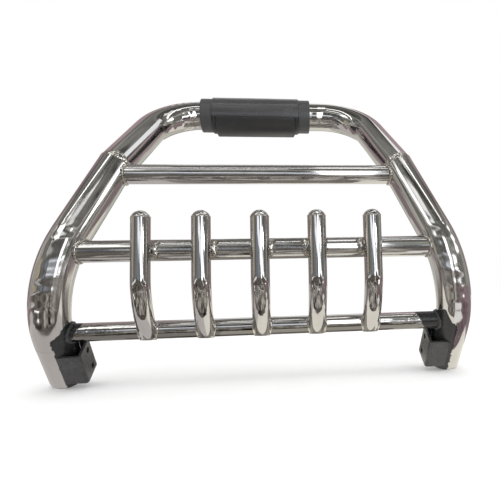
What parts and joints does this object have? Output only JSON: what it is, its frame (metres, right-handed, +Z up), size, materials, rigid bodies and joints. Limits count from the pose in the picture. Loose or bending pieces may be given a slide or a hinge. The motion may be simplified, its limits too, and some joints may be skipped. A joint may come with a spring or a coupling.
{
  "type": "front grille guard",
  "caption": "Polished tube hoop with bent legs, level crossbars, curved upright teeth, black bolt-on brackets and a black sleeve on the top bow, for the front of a vehicle.",
  "frame": {"origin": "middle of the guard's footprint, at the height of the legs' lowest point", "axes": "+X across the vehicle to the right of someone facing the guard's front, +Y from the guard's front to the vehicle, +Z up"},
  "size_m": [0.92, 0.4116, 0.7327],
  "materials": {
    "polished_stainless": "mirror-polished stainless steel",
    "black_paint": "semi-gloss",
    "black_plastic": "satin moulded"
  },
  "bodies": {
    "root": {"top_bow": "polished_stainless", "left_leg": "polished_stainless", "right_leg": "polished_stainless", "upper_crossbar": "polished_stainless", "middle_crossbar": "polished_stainless", "lower_crossbar": "polished_stainless", "tooth_1": "polished_stainless", "tooth_2": "polished_stainless", "tooth_3": "polished_stainless", "tooth_4": "polished_stainless", "tooth_5": "polished_stainless", "tooth_dome_1": "polished_stainless", "tooth_dome_2": "polished_stainless", "tooth_dome_3": "polished_stainless", "tooth_dome_4": "polished_stainless", "tooth_dome_5": "polished_stainless", "left_end_disc": "black_paint", "right_end_disc": "black_paint", "left_bracket": "black_paint", "right_bracket": "black_paint", "sleeve_upper": "black_plastic", "sleeve_lower": "black_plastic", "sleeve_left_collar": "black_plastic", "sleeve_right_collar": "black_plastic"}
  },
  "joints": []
}
